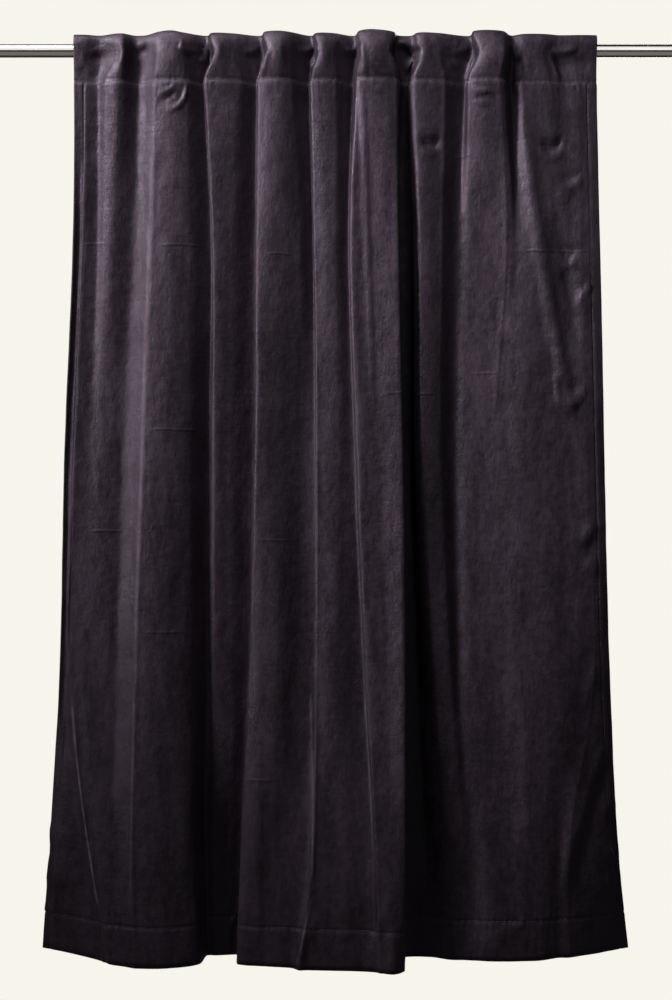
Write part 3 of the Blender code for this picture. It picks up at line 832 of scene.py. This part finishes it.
def fall(tree, value, full, none):
    """One where the value is at full, and zero where it is at none, with soft ends."""
    node = tree.nodes.new("ShaderNodeMapRange")
    node.interpolation_type = "SMOOTHSTEP"
    node.inputs["From Min"].default_value = min(full, none)
    node.inputs["From Max"].default_value = max(full, none)
    node.inputs["To Min"].default_value = 1.0 if full < none else 0.0
    node.inputs["To Max"].default_value = 0.0 if full < none else 1.0
    tree.links.new(value, node.inputs["Value"])
    return node.outputs["Result"]


def split_axes(tree, place):
    node = tree.nodes.new("ShaderNodeSeparateXYZ")
    tree.links.new(place, node.inputs["Vector"])
    return node.outputs


def pressed_lines(tree, place):
    """How much of a pressed line there is at each place on the cloth."""
    axes = split_axes(tree, place)
    wander = noise_node(tree, place, PRESS_WANDERING)
    height = maths(tree, "ADD", axes["Z"], maths(tree, "MULTIPLY", wander, PRESS_WANDER))
    found = 0.0
    for line in PRESS_LINES:
        middle = line.z * MM + PRESS_WANDER / 2
        away = maths(tree, "ABSOLUTE", maths(tree, "SUBTRACT", height, middle))
        left = fall(tree, axes["X"], line.x0 * MM + PRESS_FADE, line.x0 * MM)
        right = fall(tree, axes["X"], line.x1 * MM - PRESS_FADE, line.x1 * MM)
        ends = maths(tree, "MULTIPLY", left, right)
        mark = maths(tree, "MULTIPLY", fall(tree, away, 0.0, PRESS_WIDTH), ends)
        found = maths(tree, "ADD", mark, found)
    return found


def painted_highlight_lines(tree, place):
    """How much painted highlight, a lighter colour along sharp fold lines, there is at each place on the
    cloth.
    """
    axes = split_axes(tree, place)
    patches = noise_node(tree, place, PAINTED_HIGHLIGHT_PATCHES)
    patchy = maths(tree, "MULTIPLY", fall(tree, patches, PAINTED_HIGHLIGHT_PATCH_FULL, PAINTED_HIGHLIGHT_PATCH_NONE), PAINTED_HIGHLIGHT_UNEVEN)
    found = 0.0
    for line in PAINTED_HIGHLIGHT_LINES:
        drop = (line.z1 - line.z0) * MM
        share = maths(tree, "DIVIDE", maths(tree, "SUBTRACT", axes["Z"], line.z0 * MM), drop)
        rest = maths(tree, "SUBTRACT", 1.0, share)
        bow = maths(tree, "MULTIPLY", maths(tree, "MULTIPLY", share, rest), -4 * line.bow * MM)
        straight = maths(tree, "MULTIPLY", share, (line.x1 - line.x0) * MM)
        middle = maths(tree, "ADD", maths(tree, "ADD", straight, bow), line.x0 * MM)
        away = maths(tree, "ABSOLUTE", maths(tree, "SUBTRACT", axes["X"], middle))
        ends = maths(tree, "MULTIPLY", fall(tree, share, PAINTED_HIGHLIGHT_FADE, 0.0), fall(tree, rest, PAINTED_HIGHLIGHT_FADE, 0.0))
        mark = maths(tree, "MULTIPLY", fall(tree, away, 0.0, line.width * MM), ends)
        found = maths(tree, "ADD", maths(tree, "MULTIPLY", mark, line.share), found)
    return maths(tree, "MULTIPLY", found, maths(tree, "ADD", patchy, 1 - PAINTED_HIGHLIGHT_UNEVEN))


def velvet_material():
    material, tree, shader = new_material("plum_velvet")
    place = tree.nodes.new("ShaderNodeTexCoord").outputs["Object"]
    found = {name: noise_node(tree, place, pattern) for name, pattern in VELVET_PATTERNS.items()}
    found["pressed"] = pressed_lines(tree, place)
    base = ramp(tree, found["streaks"], VELVET_BASE)
    for shade in VELVET_SHADES:
        base = mix_colors(tree, 1.0, base, ramp(tree, found[shade.pattern], shade), "MULTIPLY")
    # Painted highlight: the base colour is mixed towards a lighter colour along sharp fold lines, standing
    # in for their sheen
    base = mix_colors(tree, painted_highlight_lines(tree, place), base, PAINTED_HIGHLIGHT_COLOR)
    tree.links.new(base, shader.inputs["Base Color"])
    dull = mix_colors(tree, 0.5, found["blotches"], found["streaks"])
    tree.links.new(ramp(tree, dull, VELVET_ROUGHNESS), shader.inputs["Roughness"])
    shader.inputs["Specular IOR Level"].default_value = 0.70
    shader.inputs["Specular Tint"].default_value = (0.95, 0.78, 0.98, 1.0)
    shader.inputs["Sheen Weight"].default_value = 0.12
    shader.inputs["Sheen Roughness"].default_value = 0.30
    shader.inputs["Sheen Tint"].default_value = (0.86, 0.74, 0.95, 1.0)
    normal = None
    for relief in VELVET_RELIEFS:
        normal = bump(tree, found[relief.pattern], relief.height, relief.strength, normal)
    tree.links.new(normal, shader.inputs["Normal"])
    return material


def thread_material():
    material, tree, shader = new_material("plum_thread")
    place = tree.nodes.new("ShaderNodeTexCoord").outputs["Object"]
    twist = noise_node(tree, place, THREAD_TWIST)
    tree.links.new(ramp(tree, twist, THREAD_BASE), shader.inputs["Base Color"])
    shader.inputs["Roughness"].default_value = 0.55
    tree.links.new(bump(tree, twist, 0.0002, 0.6), shader.inputs["Normal"])
    return material


def steel_material():
    material, tree, shader = new_material("polished_steel")
    place = tree.nodes.new("ShaderNodeTexCoord").outputs["Object"]
    lines = noise_node(tree, place, STEEL_LINES)
    smears = noise_node(tree, place, STEEL_SMEARS)
    tree.links.new(ramp(tree, smears, STEEL_BASE), shader.inputs["Base Color"])
    tree.links.new(ramp(tree, lines, STEEL_ROUGHNESS), shader.inputs["Roughness"])
    shader.inputs["Metallic"].default_value = 1.0
    tree.links.new(bump(tree, lines, 0.00005, 0.3), shader.inputs["Normal"])
    return material


def make_rod(material):
    """The rod with smooth sides and chamfered ends, of the same size as its solid."""
    ends = (
        (ROD_LOW.x, ROD_RADIUS - ROD_CHAMFER),
        (ROD_LOW.x + ROD_CHAMFER, ROD_RADIUS),
        (ROD_HIGH.x - ROD_CHAMFER, ROD_RADIUS),
        (ROD_HIGH.x, ROD_RADIUS - ROD_CHAMFER),
    )
    points = []
    for x, radius in ends:
        for side in range(ROD_SIDES):
            turn = 2 * pi * side / ROD_SIDES
            points.append((x, radius * cos(turn), radius * sin(turn)))
    faces = []
    for ring in range(len(ends) - 1):
        for side in range(ROD_SIDES):
            after = (side + 1) % ROD_SIDES
            here = ring * ROD_SIDES
            there = here + ROD_SIDES
            faces.append((here + side, there + side, there + after, here + after))
    faces.append(tuple(range(ROD_SIDES)))
    faces.append(tuple(reversed(range(len(points) - ROD_SIDES, len(points)))))
    rod = mesh_object("steel_rod", points, faces, material)
    rod.data.set_sharp_from_angle(angle=radians(30))
    return rod


def stitches_along(line):
    """Where each stitch starts and where it ends, along a line of points."""
    steps = np.linalg.norm(np.diff(line, axis=0), axis=1)
    arc = np.concatenate(([0.0], np.cumsum(steps)))
    centres = np.arange(STITCH_PITCH, arc[-1] - STITCH_PITCH, STITCH_PITCH)
    before = np.array([np.interp(centres - STITCH_LENGTH / 2, arc, line[:, axis]) for axis in range(3)]).T
    after = np.array([np.interp(centres + STITCH_LENGTH / 2, arc, line[:, axis]) for axis in range(3)]).T
    return before, after


def make_stitches(lines, material):
    """Every sewn line's stitches, joined into one mesh of short round threads."""
    points = []
    faces = []
    for line, outward in lines:
        before, after = stitches_along(line)
        for start, end in zip(before, after):
            first = len(points)
            along = (end - start) / np.linalg.norm(end - start)
            side = np.cross(along, outward)
            side /= np.linalg.norm(side)
            up = np.cross(side, along)
            for share, radius in THREAD_RINGS:
                middle = start + (end - start) * share
                for index in range(THREAD_SIDES):
                    turn = 2 * pi * index / THREAD_SIDES
                    offset = side * cos(turn) + up * sin(turn)
                    points.append(middle + offset * radius * THREAD_RADIUS)
            last = first + (len(THREAD_RINGS) - 1) * THREAD_SIDES
            for ring in range(len(THREAD_RINGS) - 1):
                for index in range(THREAD_SIDES):
                    ahead = (index + 1) % THREAD_SIDES
                    here = first + ring * THREAD_SIDES
                    there = here + THREAD_SIDES
                    faces.append((here + index, here + ahead, there + ahead, there + index))
            faces.append(tuple(first + index for index in reversed(range(THREAD_SIDES))))
            faces.append(tuple(last + index for index in range(THREAD_SIDES)))
    return mesh_object("seam_stitches", points, faces, material)


def sewn_lines(front, outer):
    """The stitched lines on the front: the casing seam, the hem and the two sides."""
    viewer = np.array((0.0, -1.0, 0.0))
    lift = viewer * THREAD_RADIUS * THREAD_LIFT
    arc = arc_lengths(front)
    heights = front[:, :, 2].mean(axis=1)
    hem_row = int(np.abs(heights - HEM_SEAM_HEIGHT).argmin())
    lines = [(outer[0] + lift, viewer), (front[hem_row] + lift, viewer)]
    for from_side in (arc, arc[:, -1:] - arc):
        column = np.abs(from_side - SIDE_HEM_WIDTH).argmin(axis=1)
        line = np.array([front[row, index] for row, index in enumerate(column)])
        lines.append((line + lift, viewer))
    return lines


# Camera: a 50 mm lens level with the middle of the photo, which lies below the rod's axis
CAMERA_DISTANCE = 2.736
CAMERA_HEIGHT = -0.8845
LENS = 50.0
SENSOR = 36.0

# Surroundings: the background that the camera sees, the strength of the sky, and the floor
BACKDROP = (0.93, 0.905, 0.84)
SKY_STRENGTH = 0.05
FLOOR_HEIGHT = -2.45
FLOOR_HALF = 1.1
FLOOR_COLOR = (0.80, 0.78, 0.73)

# Lights, in metres, watts and degrees: where each stands, what it points at, its size, power and
# colour, and how wide its light spreads
Lamp = namedtuple("Lamp", "name place target size power color spread")
CLOTH_LAMPS = (
    Lamp("key", (-2.9, -1.85, 1.75), (0.1, 0.0, 0.0), (0.8, 0.8), 17.2, (1.0, 0.97, 0.98), 56),
    Lamp("low_key", (-2.9, -1.85, -0.45), (0.0, 0.0, -0.62), (0.7, 0.9), 2.0, (1.0, 0.97, 0.98), 42),
    Lamp("fill", (1.9, -2.7, 0.6), (0.1, 0.0, -0.1), (1.6, 1.6), 0.8, (0.93, 0.95, 1.0), 80),
    Lamp("top", (-0.9, -1.0, 2.25), (0.0, 0.0, 0.0), (1.2, 0.8), 3.6, (1.0, 0.98, 1.0), 50),
    Lamp("back", (0.9, 3.2, 0.7), (0.0, 0.0, -0.8), (2.0, 2.0), 30.0, (1.0, 0.98, 1.0), 120),
)
ROD_LAMPS = (
    Lamp("rod_wall", (0.0, -3.0, 3.0), (0.0, 0.0, 3.0), (6.0, 6.0), 150.0, (1.0, 0.99, 0.97), 180),
    Lamp("rod_ground", (0.0, -1.8, -2.3), (0.0, -1.8, 0.0), (6.0, 4.4), 16.0, (1.0, 0.93, 0.87), 180),
)
FLOOR_LAMP_PLACE = (0.0, 0.0, FLOOR_HEIGHT + 0.55)
FLOOR_LAMP_TARGET = (0.0, 0.0, FLOOR_HEIGHT)
FLOOR_LAMPS = (
    Lamp("floor_light", FLOOR_LAMP_PLACE, FLOOR_LAMP_TARGET, (3.0, 3.0), 24.0, (1.0, 1.0, 1.0), 180),
)


def make_camera():
    data = bpy.data.cameras.new("camera")
    data.lens = LENS
    data.sensor_width = SENSOR
    camera = bpy.data.objects.new("camera", data)
    camera.location = (0.0, -CAMERA_DISTANCE, CAMERA_HEIGHT)
    camera.rotation_euler = (pi / 2, 0.0, 0.0)
    bpy.context.scene.collection.objects.link(camera)
    bpy.context.scene.camera = camera


def area_light(lamp):
    data = bpy.data.lights.new(lamp.name, "AREA")
    data.shape = "RECTANGLE"
    data.size, data.size_y = lamp.size
    data.energy = lamp.power
    data.color = lamp.color
    data.spread = radians(lamp.spread)
    light = bpy.data.objects.new(lamp.name, data)
    light.location = lamp.place
    aim = Vector(lamp.target) - Vector(lamp.place)
    light.rotation_euler = aim.to_track_quat("-Z", "Y").to_euler()
    bpy.context.scene.collection.objects.link(light)
    return light


def light_only(item, lights):
    """Keeps the lights out of the camera's view and lets them shine on one piece alone."""
    lit = bpy.data.collections.new("lit_" + item.name)
    lit.objects.link(item)
    for light in lights:
        light.visible_camera = False
        light.light_linking.receiver_collection = lit


def make_lights(rod, floor):
    """A raking key from the upper left, weak fills, a back light, and lights for the rod or floor alone."""
    for lamp in CLOTH_LAMPS:
        area_light(lamp)
    light_only(rod, [area_light(lamp) for lamp in ROD_LAMPS])
    light_only(floor, [area_light(lamp) for lamp in FLOOR_LAMPS])


def make_world():
    """An even cream background for the camera, and a dim sky that lights the cloth."""
    world = bpy.data.worlds.new("studio")
    bpy.context.scene.world = world
    world.use_nodes = True
    tree = world.node_tree
    tree.nodes.clear()
    output = tree.nodes.new("ShaderNodeOutputWorld")
    seen = tree.nodes.new("ShaderNodeBackground")
    seen.inputs["Color"].default_value = (*BACKDROP, 1.0)
    lit = tree.nodes.new("ShaderNodeBackground")
    lit.inputs["Strength"].default_value = SKY_STRENGTH
    direct = tree.nodes.new("ShaderNodeLightPath")
    mix = tree.nodes.new("ShaderNodeMixShader")
    tree.links.new(direct.outputs["Is Camera Ray"], mix.inputs["Fac"])
    tree.links.new(lit.outputs["Background"], mix.inputs[1])
    tree.links.new(seen.outputs["Background"], mix.inputs[2])
    tree.links.new(mix.outputs["Shader"], output.inputs["Surface"])


def make_floor():
    material, _, shader = new_material("pale_floor")
    shader.inputs["Base Color"].default_value = (*FLOOR_COLOR, 1.0)
    shader.inputs["Roughness"].default_value = 0.9
    signs = ((-1, -1), (1, -1), (1, 1), (-1, 1))
    corners = [(x * FLOOR_HALF, y * FLOOR_HALF, FLOOR_HEIGHT) for x, y in signs]
    floor = mesh_object("floor", corners, [(0, 1, 2, 3)], material)
    floor.visible_diffuse = False
    floor.visible_glossy = False
    return floor


make_camera()
make_world()
floor = make_floor()
bpy.context.scene.view_settings.view_transform = "Standard"

velvet = velvet_material()
cloth, cloth_front, casing_outer = make_velvet(velvet)
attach(cloth, "root")
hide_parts("curtain_cloth")

threads = make_stitches(sewn_lines(cloth_front, casing_outer), thread_material())
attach(threads, "root")

rod = make_rod(steel_material())
make_lights(rod, floor)
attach(rod, "root")
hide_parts("curtain_rod")
